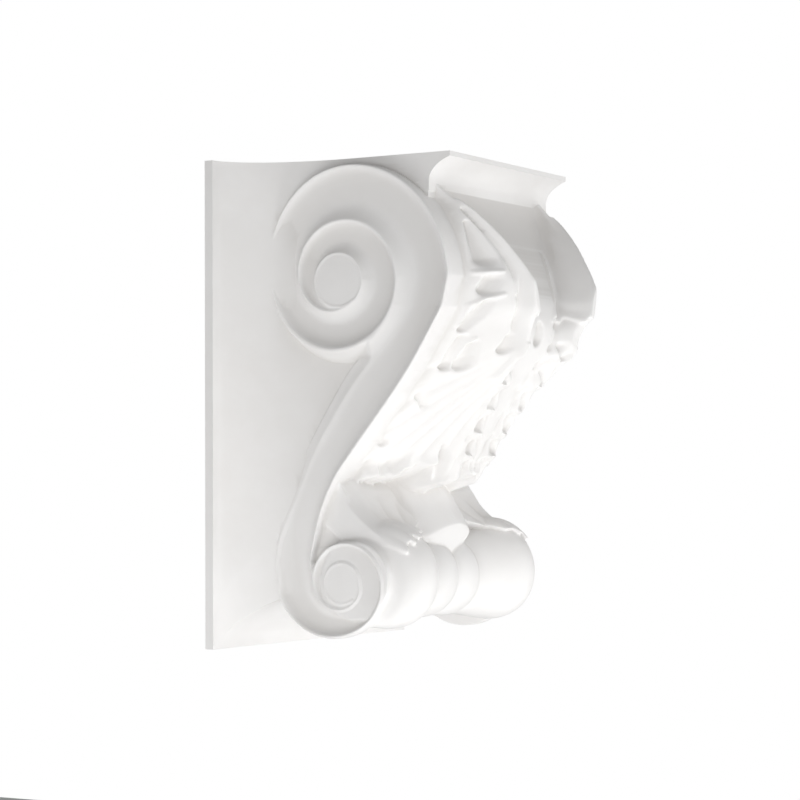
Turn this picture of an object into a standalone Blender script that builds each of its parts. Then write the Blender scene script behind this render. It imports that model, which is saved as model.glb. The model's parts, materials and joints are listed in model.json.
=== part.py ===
"""Decorative wall bracket: a flat backing plate with a coved body, an S-scroll on each side,
a banded roll at the foot, an acanthus leaf down the front and a moulded top block.

Sizes are in millimetres. X is the width, depth is measured forward of the wall (towards -Y) and
height is measured up from the bottom of the plate. The origin is the centre of the wall face.
"""
import math

import bmesh
import bpy
from mathutils import Vector

MM = 0.001

# Backing plate and body
HEIGHT = 300.0
PLATE_WIDTH = 231.0
PLATE_THICKNESS = 5.8
BODY_WIDTH = 154.0
COVE_DEPTH = 75.0
UNDERSIDE_RISE = 38.0
BODY_BACKSET = 3.0

# Moulded top block
TOP_DEPTH = 151.5
TOP_FILLET = 3.0
TOP_COVE_HEIGHT = 14.0
TOP_COVE_DEPTH = 14.5
TOP_COVE_START = 35.0
TOP_NECK = 15.0
TOP_BLOCK_ROOT = 25.0

# Side scrolls
SCROLL_WIDTH = 174.0
SCROLL_ROOT = 32.0
LOWER_ROOT = 9.0
DISH_DEPTH = 5.0
LOWER_SOFT_FROM = 600.0
LOWER_SOFT_TO = 680.0
UPPER_EYE = (78.0, 225.0)
UPPER_EYE_RADIUS = 17.0
UPPER_TURN_RADII = (17.0, 18.7, 28.0, 36.5, 41.5, 42.5, 48.5, 69.5, 77.5)
LOWER_EYE = (80.0, 40.3)
LOWER_EYE_RADIUS = 13.0
LOWER_TURN_RADII = (13.0, 16.0, 20.5, 24.5, 28.5, 32.0, 47.6)

# The S between the two scrolls: (back edge, front edge) from the top down, each as depth and height
SCROLL_WAIST = (
    ((116.5, 208.0), (151.0, 206.5)),
    ((108.5, 195.0), (141.5, 191.0)),
    ((97.0, 184.0), (129.0, 171.5)),
    ((86.0, 174.0), (115.0, 153.0)),
    ((75.0, 160.0), (101.1, 136.3)),
    ((61.0, 137.5), (88.0, 120.5)),
    ((47.0, 113.0), (76.0, 105.0)),
    ((38.5, 88.0), (66.3, 86.2)),
    ((34.0, 68.0), (60.8, 68.5)),
    ((32.4, 53.0), (57.5, 54.0)),
)

# Roll at the foot, and how far it is swollen at each distance from the middle
ROLL_DEPTH = 88.5
ROLL_HEIGHT = 42.0
ROLL_RADIUS = 24.0
ROLL_PAD_FORWARD = 12.0
ROLL_PAD_RISE = 2.0
ROLL_PAD_SWELL = 7.5
ROLL_SWELL = (
    (0.0, 0.0), (3.0, 0.10), (9.0, 0.20), (14.0, 0.22), (20.0, 0.18), (25.0, 0.08), (27.5, 0.0),
    (30.5, 0.12), (36.0, 0.30), (43.0, 0.52), (50.0, 0.75), (57.0, 0.94), (63.0, 1.0),
    (70.0, 0.93), (75.0, 0.76), (79.0, 0.45), (81.0, 0.1), (83.0, 0.0), (90.0, 0.0),
)

# Acanthus leaf
LEAF_HALF_WIDTH = 71.0
LEAF_FOOT = 99.0
LEAF_TOP = 286.0
LEAF_CURL = 104.0
LEAF_CURL_HALF = 4.5
CARVING_FROM = 103.0
CARVING_FULL = 140.0
RIB_GAP = 9.0
RIB_GROOVE = 3.2
POCKET_DEPTH = 7.0
FAN_TOP = 196.0
FAN_FULL = 150.0

# Calyx under the leaf: its tongue, the throat behind it and the lobes that lie over the roll
CALYX_LOW = 46.0
CALYX_TOP = 102.0
CALYX_HALF_WIDTH = 82.0
CALYX_ROOT = 46.0
COVER_FROM = 92.0
COVER_FULL = 80.0
COVER_FALL = 12.0
TONGUE_CREST = 119.0
TONGUE_FOLD = 77.0
TONGUE_HALF = ((46.0, 0.5), (49.0, 3.0), (53.0, 9.0), (58.0, 16.0), (62.0, 22.0), (66.0, 28.0),
               (70.0, 32.0), (76.0, 34.0), (84.0, 33.5), (92.0, 32.0), (104.0, 29.0))
THROAT = ((44.0, 78.0), (60.0, 82.0), (70.0, 84.0), (80.0, 84.0), (92.0, 80.0), (104.0, 80.0))
COVER = ((56.0, 124.0), (60.0, 125.0), (64.0, 124.0), (68.0, 121.0), (72.0, 117.5), (76.0, 112.5),
         (79.0, 107.0), (82.0, 101.0), (85.0, 96.0), (90.0, 91.0), (96.0, 87.0), (104.0, 84.0))
COVER_EDGE = ((28.0, 72.0), (34.0, 72.5), (40.0, 69.0), (46.0, 74.0), (49.0, 75.0), (56.0, 66.0),
              (61.0, 70.5), (65.0, 71.0), (71.5, 64.0), (77.0, 70.0), (82.0, 73.0))

# Mesh of the carved solids
CARVING_STEP = 1.6
CARVING_TRIANGLES = 8200


def clear_scene():
    for item in list(bpy.data.objects):
        bpy.data.objects.remove(item, do_unlink=True)


def smooth(edge_a, edge_b, value):
    share = min(max((value - edge_a) / (edge_b - edge_a), 0.0), 1.0)
    return share * share * (3.0 - 2.0 * share)


def follow(table, value):
    """Reads a rising table of (key, result) pairs with a smooth curve through them."""
    if value <= table[0][0]:
        return table[0][1]
    if value >= table[-1][0]:
        return table[-1][1]
    spot = next(i for i in range(len(table) - 1) if value <= table[i + 1][0])
    left, right = table[spot], table[spot + 1]
    before = table[max(spot - 1, 0)]
    after = table[min(spot + 2, len(table) - 1)]
    span = right[0] - left[0]
    share = (value - left[0]) / span
    slope_a = (right[1] - before[1]) / (right[0] - before[0]) * span
    slope_b = (after[1] - left[1]) / (after[0] - left[0]) * span
    return (
        (2 * share**3 - 3 * share**2 + 1) * left[1]
        + (share**3 - 2 * share**2 + share) * slope_a
        + (3 * share**2 - 2 * share**3) * right[1]
        + (share**3 - share**2) * slope_b
    )


def place(x, depth, height):
    return Vector((x * MM, -depth * MM, (height - HEIGHT / 2) * MM))


def new_object(name, bm):
    bmesh.ops.recalc_face_normals(bm, faces=bm.faces)
    mesh = bpy.data.meshes.new(name)
    bm.to_mesh(mesh)
    bm.free()
    item = bpy.data.objects.new(name, mesh)
    bpy.context.scene.collection.objects.link(item)
    return item


def loft(name, rings):
    """A closed solid through a run of closed sections that have the same number of corners."""
    bm = bmesh.new()
    rows = [[bm.verts.new(place(*corner)) for corner in ring] for ring in rings]
    count = len(rings[0])
    for row, following in zip(rows, rows[1:]):
        for i in range(count):
            j = (i + 1) % count
            bm.faces.new((row[i], row[j], following[j], following[i]))
    bm.faces.new(rows[0])
    bm.faces.new(rows[-1][::-1])
    bm.normal_update()
    bmesh.ops.triangulate(bm, faces=[f for f in bm.faces if len(f.verts) > 4], ngon_method="EAR_CLIP")
    return new_object(name, bm)


def across(name, profile, left, right):
    """A straight moulding: a profile of (depth, height) corners drawn across the width."""
    return loft(name, [[(x, d, h) for d, h in profile] for x in (left, right)])


def cove(depth):
    """How much of the cove's run is left behind at a depth: 0 at the plate, 1 at its front end."""
    share = min(max((depth - PLATE_THICKNESS) / COVE_DEPTH, 0.0), 1.0)
    return math.sqrt(1.0 - (1.0 - share) ** 2)


def body_half_width(depth):
    return PLATE_WIDTH / 2 - (PLATE_WIDTH - BODY_WIDTH) / 2 * cove(depth)


def front_edge_table():
    """Front edge of the scroll as height against depth, from the roll up to the widest point."""
    points = [front for _, front in SCROLL_WAIST]
    table = [(height, depth) for depth, height in reversed(points)]
    widest = UPPER_EYE[0] + UPPER_TURN_RADII[-1]
    table.append((UPPER_EYE[1] - 4.0, widest))
    table.append((UPPER_EYE[1] + 8.0, widest - 1.0))
    table.append((250.0, 150.0))
    table.append((268.0, 141.0))
    table.append((283.0, TOP_DEPTH - TOP_COVE_DEPTH))
    return table


FRONT_EDGE = front_edge_table()


def front_edge(height):
    return follow(FRONT_EDGE, height)


def body():
    """Backing plate and coved body in one: rectangles that shrink as they leave the wall."""
    stops = [0.0, PLATE_THICKNESS]
    steps = 16
    for i in range(1, steps + 1):
        stops.append(PLATE_THICKNESS + COVE_DEPTH * (1 - math.cos(math.pi / 2 * i / steps)))
    stops.append(TOP_DEPTH)
    rings = []
    for depth in stops:
        half = body_half_width(depth)
        low = UNDERSIDE_RISE * cove(depth)
        rings.append([(-half, depth, low), (half, depth, low), (half, depth, HEIGHT), (-half, depth, HEIGHT)])
    item = loft("body", rings)
    waist_foot = SCROLL_WAIST[-2][1][1]
    neck = HEIGHT - TOP_FILLET - TOP_COVE_HEIGHT - TOP_NECK
    count = 17
    heights = [waist_foot + (neck - waist_foot) * i / count for i in range(count + 1)]
    outside = 20.0
    block_back = TOP_DEPTH - TOP_COVE_DEPTH - 1.0
    outline = [(-outside, -outside), (ROLL_DEPTH, -outside), (ROLL_DEPTH - 4.0, ROLL_HEIGHT + 10.0)]
    outline += [(front_edge(height) - BODY_BACKSET, height) for height in heights]
    outline += [(block_back, neck + TOP_NECK), (block_back, HEIGHT + outside), (-outside, HEIGHT + outside)]
    cutter = across("body_front", outline, -PLATE_WIDTH, PLATE_WIDTH)
    combine(item, cutter, "INTERSECT")
    return item


def top_block():
    """The moulded block under the shelf: a square fillet over a hollow that ends upright at a neck."""
    steps = 10
    back = TOP_DEPTH - TOP_COVE_DEPTH
    base = HEIGHT - TOP_FILLET
    start = math.radians(TOP_COVE_START)
    deep = TOP_COVE_DEPTH / (1.0 - math.sin(start))
    tall = TOP_COVE_HEIGHT / math.cos(start)
    profile = [(back - TOP_BLOCK_ROOT, HEIGHT), (TOP_DEPTH, HEIGHT)]
    for i in range(steps + 1):
        turn = start + (math.pi / 2 - start) * i / steps
        depth = TOP_DEPTH - deep * (math.sin(turn) - math.sin(start))
        profile.append((depth, base - tall * (math.cos(start) - math.cos(turn))))
    foot = base - TOP_COVE_HEIGHT - TOP_NECK
    profile.append((back, foot))
    profile.append((back - TOP_BLOCK_ROOT, foot))
    return across("top_block", profile, -BODY_WIDTH / 2, BODY_WIDTH / 2)


def around(centre, radius, degrees):
    """A point round a scroll's eye: 0 is towards the wall, 90 the top, 180 the front."""
    turn = math.radians(degrees)
    return (centre[0] - radius * math.cos(turn), centre[1] + radius * math.sin(turn))


def upper_radius(degrees):
    return follow([(180 + 90 * i, r) for i, r in enumerate(UPPER_TURN_RADII)], degrees)


def lower_radius(degrees):
    return follow([(180 + 90 * i, r) for i, r in enumerate(LOWER_TURN_RADII)], degrees)


def scroll_stations(step):
    """Inner edge, outer edge, the share of the soft back edge and the side of the lip, eye to eye."""
    stations = []
    for degrees in range(230, 901, step):
        inner = UPPER_EYE_RADIUS - 0.5 if degrees < 540 else upper_radius(degrees - 360)
        outer = around(UPPER_EYE, upper_radius(degrees), degrees)
        stations.append((around(UPPER_EYE, inner, degrees), outer, 0.0, 1.0))
    count = len(SCROLL_WAIST)
    back_d = [(i, back[0]) for i, (back, _) in enumerate(SCROLL_WAIST)]
    back_h = [(i, back[1]) for i, (back, _) in enumerate(SCROLL_WAIST)]
    front_d = [(i, front[0]) for i, (_, front) in enumerate(SCROLL_WAIST)]
    front_h = [(i, front[1]) for i, (_, front) in enumerate(SCROLL_WAIST)]
    fine = max(2, round(40 / step))
    for k in range((count - 1) * fine + 1):
        t = k / fine
        soft = smooth(2.5, 4.5, t)
        side = 1.0 - smooth(6.5, 9.0, t)
        back = (follow(back_d, t), follow(back_h, t))
        front = (follow(front_d, t), follow(front_h, t))
        stations.append((back, front, soft, side))
    for degrees in range(710, 229, -step):
        inner = LOWER_EYE_RADIUS - 0.5 if degrees < 540 else lower_radius(degrees - 360)
        soft = smooth(LOWER_SOFT_FROM, LOWER_SOFT_TO, degrees)
        outer = around(LOWER_EYE, lower_radius(degrees), degrees)
        stations.append((outer, around(LOWER_EYE, inner, degrees), soft, 0.0))
    return stations


def scroll_section(back, front, soft, side):
    """One section across the rolled band: a raised lip on one edge, a dished face, a fall from the other."""
    along = Vector((front[0] - back[0], front[1] - back[1]))
    width = along.length
    along.normalize()
    lip = min(1.6, width * 0.3)
    flush = soft * (SCROLL_WIDTH / 2 - body_half_width(back[0]))
    lower = smooth(LOWER_EYE[1] + 30.0, LOWER_EYE[1] + 10.0, back[1])
    root = SCROLL_ROOT + (LOWER_ROOT - SCROLL_ROOT) * lower
    rows = (
        (-1.2, -root),
        (-1.2, -min(flush + 3.0, root - 1.0)),
        (0.0, -flush),
        (width * 0.14, -1.2 - 0.4 * flush),
        (width * 0.3, -DISH_DEPTH * 0.75),
        (width * 0.55, -DISH_DEPTH),
        (width * 0.8, -DISH_DEPTH * 0.9),
        (width - lip * 1.5, -DISH_DEPTH * 0.7),
        (width - lip * 0.7, 0.0),
        (width, 0.0),
        (width + 1.2, -3.0),
        (width + 1.2, -root),
    )
    flipped = [(width - u, h) for u, h in reversed(rows)]
    blend = []
    for a, b in zip(rows, flipped):
        blend.append((a[0] * side + b[0] * (1 - side), a[1] * side + b[1] * (1 - side)))
    shrink = min(1.0, width / 12.0)
    corners = []
    for u, h in blend:
        if h > -12.0:
            h *= 0.4 + 0.6 * shrink
        corners.append((-(SCROLL_WIDTH / 2 + h), back[0] + along.x * u, back[1] + along.y * u))
    return corners


def scroll():
    """The rolled S band on the left side."""
    return loft("scroll", [scroll_section(*station) for station in scroll_stations(10)])


def eye(name, centre, radius, root):
    """The low round button in the middle of a scroll."""
    rings = []
    for share, drop in ((1.02, root), (1.02, 3.0), (0.93, 1.2), (0.6, 1.0), (0.02, 0.8)):
        turns = [around(centre, radius * share, 15 * i) for i in range(24)]
        rings.append([(-(SCROLL_WIDTH / 2 - drop), d, h) for d, h in turns])
    return loft(name, rings)


def roll_section(x):
    """A circular section of the roll, larger and further forward where the roll is swollen."""
    swell = follow(ROLL_SWELL, abs(x))
    depth = ROLL_DEPTH + ROLL_PAD_FORWARD * swell
    height = ROLL_HEIGHT + ROLL_PAD_RISE * swell
    radius = ROLL_RADIUS + ROLL_PAD_SWELL * swell
    turns = [math.radians(8 * i) for i in range(45)]
    return [(x, depth + radius * math.cos(turn), height + radius * math.sin(turn)) for turn in turns]


def roll():
    """The banded roll across the foot: two fat pads and a pair of narrow bands between them."""
    half = SCROLL_WIDTH / 2 - 1.5
    count = 90
    stops = [-half + 2 * half * i / count for i in range(count + 1)]
    return loft("roll", [roll_section(x) for x in stops])


# The leaf from its foot up: height, depth in the channel, depth and place of its crest, wall width
LEAF_LINE = (
    (99.0, 116.0, 112.0, 14.0, 14.0),
    (104.0, 124.0, 121.0, 15.0, 14.0),
    (112.0, 127.0, 126.0, 16.0, 14.0),
    (120.0, 129.0, 130.0, 17.0, 14.0),
    (135.0, 136.0, 139.0, 18.0, 14.0),
    (150.0, 145.0, 150.0, 20.0, 14.0),
    (165.0, 155.0, 163.0, 23.0, 13.0),
    (175.0, 163.0, 171.5, 27.0, 12.0),
    (185.0, 169.0, 179.5, 29.0, 11.0),
    (196.0, 172.0, 184.0, 31.0, 10.0),
    (207.0, 171.0, 189.5, 36.0, 9.0),
    (214.0, 169.5, 190.0, 38.0, 9.0),
    (223.0, 166.0, 187.5, 42.0, 9.0),
    (238.0, 159.0, 179.0, 48.0, 9.0),
    (252.0, 149.0, 168.5, 53.5, 9.0),
    (266.0, 139.0, 155.0, 60.5, 9.0),
    (276.0, 133.0, 143.0, 66.0, 9.0),
    (286.0, 130.0, 131.0, 70.0, 9.0),
)


def leaf_line(column, height):
    return follow([(row[0], row[column]) for row in LEAF_LINE], height)


POCKETS = (
    # distance from the middle, height, half width, half height, share of the full depth, lean
    (62.0, 243.0, 7.0, 11.0, 1.0, 0.25),
    (62.0, 219.0, 7.0, 6.5, 1.0, 0.1),
    (63.0, 200.0, 6.5, 6.5, 0.9, -0.6),
    (66.0, 178.0, 4.0, 9.0, 0.8, -0.3),
    (57.0, 180.0, 4.5, 8.0, 0.8, 0.2),
    (41.0, 183.0, 5.0, 7.0, 0.7, 0.3),
    (60.0, 152.0, 4.5, 7.0, 0.6, -0.3),
    (64.0, 128.0, 4.0, 6.0, 0.6, -0.4),
    (48.0, 136.0, 3.5, 7.0, 0.5, 0.2),
)


def leaf_depth(x, height):
    """Depth of the leaf's front at a width and height, with its channel, ribs, pockets and lobes."""
    x = abs(x)
    border = front_edge(height) - 1.0 - 6.0 * smooth(LEAF_TOP - 24.0, LEAF_TOP - 10.0, height)
    middle = leaf_line(1, height)
    crest = leaf_line(2, height)
    rib = leaf_line(3, height)
    wall = leaf_line(4, height)
    if x < rib:
        depth = middle + (crest - middle) * smooth(rib - wall, rib - 0.5, x)
    else:
        share = min((x - rib) / (LEAF_HALF_WIDTH - rib), 1.0)
        depth = border + (crest - border) * (1.0 - share**1.2)
    carved = smooth(LEAF_HALF_WIDTH, LEAF_HALF_WIDTH - 6.0, x)
    strength = smooth(CARVING_FROM, CARVING_FULL, height)
    depth += 1.5 * strength * math.exp(-(((x - rib - 2.0) / 3.0) ** 2))
    depth -= RIB_GROOVE * strength * math.exp(-(((x - rib - RIB_GAP) / 2.4) ** 2)) * carved
    depth += 1.8 * strength * math.exp(-(((x - rib - RIB_GAP * 1.9) / 3.2) ** 2)) * carved
    for place_x, place_h, half_w, half_h, deep, lean in POCKETS:
        dx = (x - place_x - lean * (height - place_h)) / half_w
        dh = (height - place_h) / half_h
        depth -= POCKET_DEPTH * deep * math.exp(-((dx * dx + dh * dh) ** 2)) * carved
    fan = smooth(FAN_TOP, FAN_FULL, height)
    spread = x * (1.0 + 0.9 * (FAN_FULL - height) / 100.0)
    depth += 1.3 * fan * math.cos(spread * 0.36) * carved
    curl = math.exp(-(((height - LEAF_CURL) / LEAF_CURL_HALF) ** 2))
    depth += 2.5 * curl * carved
    return depth


def leaf():
    """The acanthus leaf down the front, from under the top block to its curled foot."""
    columns = 56
    widths = [LEAF_HALF_WIDTH * (2 * i / columns - 1) for i in range(columns + 1)]
    rows = 96
    rings = []
    for k in range(rows + 1):
        height = LEAF_FOOT + (LEAF_TOP - LEAF_FOOT) * k / rows
        front = [(x, leaf_depth(x, height), height) for x in widths]
        back = front_edge(height) - 22.0
        rings.append(front + [(widths[-1], back, height), (widths[0], back, height)])
    return loft("leaf", rings)


def tongue_depth(x, height, base):
    """A broad tongue that bends over at a crisp fold."""
    half = follow(TONGUE_HALF, height)
    if x >= half:
        return base
    fold = TONGUE_FOLD - 8.0 * (x / 30.0) ** 2
    ridge = TONGUE_CREST - (0.95 * (height - fold) if height > fold else 0.46 * (fold - height))
    return base + (ridge - base) * (1.0 - (x / half) ** 2) ** 0.25


def cover_depth(x, height):
    """The lobes beside the tongue, which drape over the pads of the roll and end in small tips."""
    swell = follow(ROLL_SWELL, x)
    fall = COVER_FALL * max(1.0 - swell, 0.0) ** 1.3 * smooth(COVER_FROM, COVER_FULL, height)
    cover = follow(COVER, height) - fall
    under = follow(COVER_EDGE, x) - height
    return cover - 7.0 * max(under, 0.0)


def calyx_depth(x, height):
    base = follow(THROAT, height)
    return max(base, tongue_depth(abs(x), height, base), cover_depth(abs(x), height))


def calyx():
    """The small calyx that binds the foot of the leaf to the roll."""
    columns = 82
    widths = [CALYX_HALF_WIDTH * (2 * i / columns - 1) for i in range(columns + 1)]
    rows = 56
    rings = []
    for k in range(rows + 1):
        height = CALYX_LOW + (CALYX_TOP - CALYX_LOW) * k / rows
        front = [(x, calyx_depth(x, height), height) for x in widths]
        back = follow(THROAT, height) - CALYX_ROOT
        rings.append(front + [(widths[-1], back, height), (widths[0], back, height)])
    return loft("calyx", rings)


def mirrored(item):
    copy = item.copy()
    copy.data = item.data.copy()
    copy.name = item.name + "_right"
    bpy.context.scene.collection.objects.link(copy)
    for vertex in copy.data.vertices:
        vertex.co.x = -vertex.co.x
    copy.data.flip_normals()
    return copy


def apply_modifier(item, kind, **settings):
    modifier = item.modifiers.new(kind.lower(), kind)
    for key, value in settings.items():
        setattr(modifier, key, value)
    graph = bpy.context.evaluated_depsgraph_get()
    mesh = bpy.data.meshes.new_from_object(item.evaluated_get(graph))
    item.modifiers.clear()
    old = item.data
    item.data = mesh
    bpy.data.meshes.remove(old)


def combine(item, other, operation):
    apply_modifier(item, "BOOLEAN", object=other, operation=operation, solver="EXACT")
    bpy.data.objects.remove(other, do_unlink=True)


def merge_carvings(items):
    """Fuses the overlapping carved solids into one skin and reduces it to its flat facets."""
    bm = bmesh.new()
    for item in items:
        bm.from_mesh(item.data)
        bpy.data.objects.remove(item, do_unlink=True)
    carving = new_object("carving", bm)
    apply_modifier(carving, "REMESH", mode="VOXEL", voxel_size=CARVING_STEP * MM, adaptivity=0.0)
    apply_modifier(carving, "SMOOTH", factor=0.5, iterations=1)
    carving.data.update()
    share = CARVING_TRIANGLES / (2 * len(carving.data.polygons))
    apply_modifier(carving, "DECIMATE", ratio=share)
    return carving


def plaster():
    material = bpy.data.materials.new("white_plaster")
    material.use_nodes = True
    shader = material.node_tree.nodes["Principled BSDF"]
    shader.inputs["Base Color"].default_value = (0.86, 0.85, 0.83, 1.0)
    shader.inputs["Roughness"].default_value = 0.7
    return material


def main():
    clear_scene()
    left_scroll = scroll()
    upper_eye = eye("upper_eye", UPPER_EYE, UPPER_EYE_RADIUS, SCROLL_ROOT)
    lower_eye = eye("lower_eye", LOWER_EYE, LOWER_EYE_RADIUS, LOWER_ROOT)
    carved = [left_scroll, upper_eye, lower_eye]
    carved += [mirrored(item) for item in carved]
    carved += [roll(), leaf(), calyx()]
    carving = merge_carvings(carved)
    bracket = body()
    combine(bracket, top_block(), "UNION")
    combine(bracket, carving, "UNION")
    bracket.name = "wall_bracket"
    bracket.data.name = "wall_bracket"
    bracket.data.materials.clear()
    bracket.data.materials.append(plaster())
    for polygon in bracket.data.polygons:
        polygon.material_index = 0
    collection = bpy.data.collections.new("decorative_wall_bracket")
    bpy.context.scene.collection.children.link(collection)
    bpy.context.scene.collection.objects.unlink(bracket)
    collection.objects.link(bracket)
    print("triangles", sum(len(p.vertices) - 2 for p in bracket.data.polygons))


main()
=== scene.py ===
# %% [markdown]
# A white moulded wall bracket, seen from its left and a little from below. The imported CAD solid
# is the frame: it sets the size and the place of everything. The lesson re-makes the bracket as
# one finely carved mesh over that solid, gives it a matt plaster finish, and lights it softly.

# %% Load the frame
import json
import math

import bpy
import numpy as np
from mathutils import Matrix, Vector

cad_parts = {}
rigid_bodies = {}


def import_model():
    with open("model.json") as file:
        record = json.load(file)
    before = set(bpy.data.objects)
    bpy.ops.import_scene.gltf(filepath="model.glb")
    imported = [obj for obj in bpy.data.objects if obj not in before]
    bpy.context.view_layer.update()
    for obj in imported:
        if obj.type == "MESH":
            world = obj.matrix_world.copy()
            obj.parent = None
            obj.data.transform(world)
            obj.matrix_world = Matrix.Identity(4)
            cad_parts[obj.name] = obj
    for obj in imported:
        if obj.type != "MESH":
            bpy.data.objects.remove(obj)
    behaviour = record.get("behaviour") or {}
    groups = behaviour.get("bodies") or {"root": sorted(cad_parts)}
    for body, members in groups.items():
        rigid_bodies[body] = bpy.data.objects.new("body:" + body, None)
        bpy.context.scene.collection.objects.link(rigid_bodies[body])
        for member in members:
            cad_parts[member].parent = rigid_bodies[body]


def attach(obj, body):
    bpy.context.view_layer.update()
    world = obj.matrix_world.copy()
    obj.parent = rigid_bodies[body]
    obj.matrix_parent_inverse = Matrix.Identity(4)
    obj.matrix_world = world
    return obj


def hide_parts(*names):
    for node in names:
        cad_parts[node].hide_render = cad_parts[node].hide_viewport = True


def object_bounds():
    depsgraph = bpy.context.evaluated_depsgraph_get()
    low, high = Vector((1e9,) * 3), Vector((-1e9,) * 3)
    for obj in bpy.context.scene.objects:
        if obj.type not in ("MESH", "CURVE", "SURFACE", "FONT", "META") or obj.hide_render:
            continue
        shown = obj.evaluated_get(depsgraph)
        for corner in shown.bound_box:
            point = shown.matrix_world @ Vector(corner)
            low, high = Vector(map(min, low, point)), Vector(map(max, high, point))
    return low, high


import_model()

cad_low, cad_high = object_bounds()
print("CAD box, metres:", [round(v, 4) for v in cad_low], [round(v, 4) for v in cad_high])

# %% [markdown]
# The bracket is measured as its maker would: x across, depth out from the wall, and height up
# from the foot of the plate, all in millimetres. Blender wants metres with the wall face centred
# on the origin and the front looking along -Y. One helper turns the first into the second.

# %% Measures
MM = 0.001
HEIGHT = 300.0
DEEPEST = -cad_low.y / MM - 0.1


def to_metres(x, depth, height):
    """Arrays of x, depth and height in millimetres as an array of points in metres."""
    x, depth, height = np.broadcast_arrays(x, depth, height)
    return np.stack([x * MM, -depth * MM, (height - HEIGHT / 2) * MM], axis=-1)


def smooth(start, end, value):
    """0 at start, 1 at end, with a soft turn at both."""
    share = np.clip((value - start) / (end - start), 0.0, 1.0)
    return share * share * (3.0 - 2.0 * share)


def follow(table, column, value):
    """A smooth curve through one column of a table whose first column rises."""
    rows = np.array(table, dtype=float)
    keys, results = rows[:, 0], rows[:, column]
    slopes = np.gradient(results, keys, edge_order=1)
    slopes[1:-1] = (results[2:] - results[:-2]) / (keys[2:] - keys[:-2])
    value = np.clip(value, keys[0], keys[-1])
    spot = np.clip(np.searchsorted(keys, value) - 1, 0, len(keys) - 2)
    span = keys[spot + 1] - keys[spot]
    t = (value - keys[spot]) / span
    return (
        (2 * t**3 - 3 * t**2 + 1) * results[spot]
        + (t**3 - 2 * t**2 + t) * slopes[spot] * span
        + (3 * t**2 - 2 * t**3) * results[spot + 1]
        + (t**3 - t**2) * slopes[spot + 1] * span
    )


# %% [markdown]
# Every carved part starts as a flat grid primitive. Its vertices are moved onto the carved
# surface in code, which is what a sculptor's brush does by eye, and the sheet is then extruded
# into the body so that it is a closed solid that can be fused with its neighbours. A grid keeps
# the rows along the form, so ridges and grooves stay clean.

# %% Helpers for carved sheets
def deselect():
    if bpy.context.object and bpy.context.object.mode != "OBJECT":
        bpy.ops.object.mode_set(mode="OBJECT")
    bpy.ops.object.select_all(action="DESELECT")


def make_active(piece):
    deselect()
    piece.select_set(True)
    bpy.context.view_layer.objects.active = piece


def shaped_grid(name, points):
    """A grid with its vertices moved to rows and columns of points; it is left open in edit mode."""
    rows, columns = points.shape[:2]
    deselect()
    bpy.ops.mesh.primitive_grid_add(x_subdivisions=columns - 1, y_subdivisions=rows - 1, size=2.0)
    piece = bpy.context.object
    piece.name = name
    flat = np.empty(len(piece.data.vertices) * 3)
    piece.data.vertices.foreach_get("co", flat)
    flat = flat.reshape(-1, 3)
    column = np.rint((flat[:, 0] + 1) / 2 * (columns - 1)).astype(int)
    row = np.rint((flat[:, 1] + 1) / 2 * (rows - 1)).astype(int)
    piece.data.vertices.foreach_set("co", points[row, column].ravel())
    bpy.ops.object.mode_set(mode="EDIT")
    bpy.ops.mesh.select_all(action="SELECT")
    return piece


def carved_sheet(name, x, depth, height, thickness):
    """A grid moved onto a carved surface and extruded back towards the wall, all in mm."""
    points = to_metres(x, depth, height)
    piece = shaped_grid(name, points)
    bpy.ops.mesh.extrude_region_move(TRANSFORM_OT_translate={"value": (0, thickness * MM, 0)})
    bpy.ops.mesh.select_all(action="SELECT")
    bpy.ops.mesh.normals_make_consistent(inside=False)
    bpy.ops.object.mode_set(mode="OBJECT")
    print(name, "carved from a grid of", points.shape[1], "by", points.shape[0])
    return piece


def apply_modifier(piece, kind, **settings):
    make_active(piece)
    modifier = piece.modifiers.new(kind.title(), kind)
    for key, value in settings.items():
        setattr(modifier, key, value)
    bpy.ops.object.modifier_apply(modifier=modifier.name)


# %% [markdown]
# The camera stands at the photograph's place: far to the bracket's left, a little below its
# middle, looking slightly up with a long lens. The numbers come from fitting a camera to the
# corners of the plate, the top block and the roll, so they are used as they are.

# %% Camera
CAMERA_PLACE = Vector((-4.56233 * 0.3, -2.9237 * 0.3, (0.33879 - 0.5) * 0.3))
CAMERA_TURN, CAMERA_RISE, CAMERA_ROLL = 0.53233, 0.03311, -0.00422
CAMERA_FOCUS = 2485.80527
IMAGE_SIZE = 800.0

look = Vector((
    math.cos(CAMERA_TURN) * math.cos(CAMERA_RISE),
    math.sin(CAMERA_TURN) * math.cos(CAMERA_RISE),
    math.sin(CAMERA_RISE),
))
level = Vector((math.sin(CAMERA_TURN), -math.cos(CAMERA_TURN), 0.0))
up = level.cross(look)
right = level * math.cos(CAMERA_ROLL) + up * math.sin(CAMERA_ROLL)
up = up * math.cos(CAMERA_ROLL) - level * math.sin(CAMERA_ROLL)

deselect()
bpy.ops.object.camera_add()
camera = bpy.context.object
camera.name = "photo_camera"
camera.data.sensor_width = 36.0
camera.data.lens = 36.0 * CAMERA_FOCUS / IMAGE_SIZE
camera.data.dof.use_dof = False
camera.matrix_world = Matrix((
    (right.x, up.x, -look.x, CAMERA_PLACE.x),
    (right.y, up.y, -look.y, CAMERA_PLACE.y),
    (right.z, up.z, -look.z, CAMERA_PLACE.z),
    (0.0, 0.0, 0.0, 1.0),
))
bpy.context.scene.camera = camera
print("camera lens", round(camera.data.lens, 1), "mm at", [round(v, 3) for v in CAMERA_PLACE])

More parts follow.
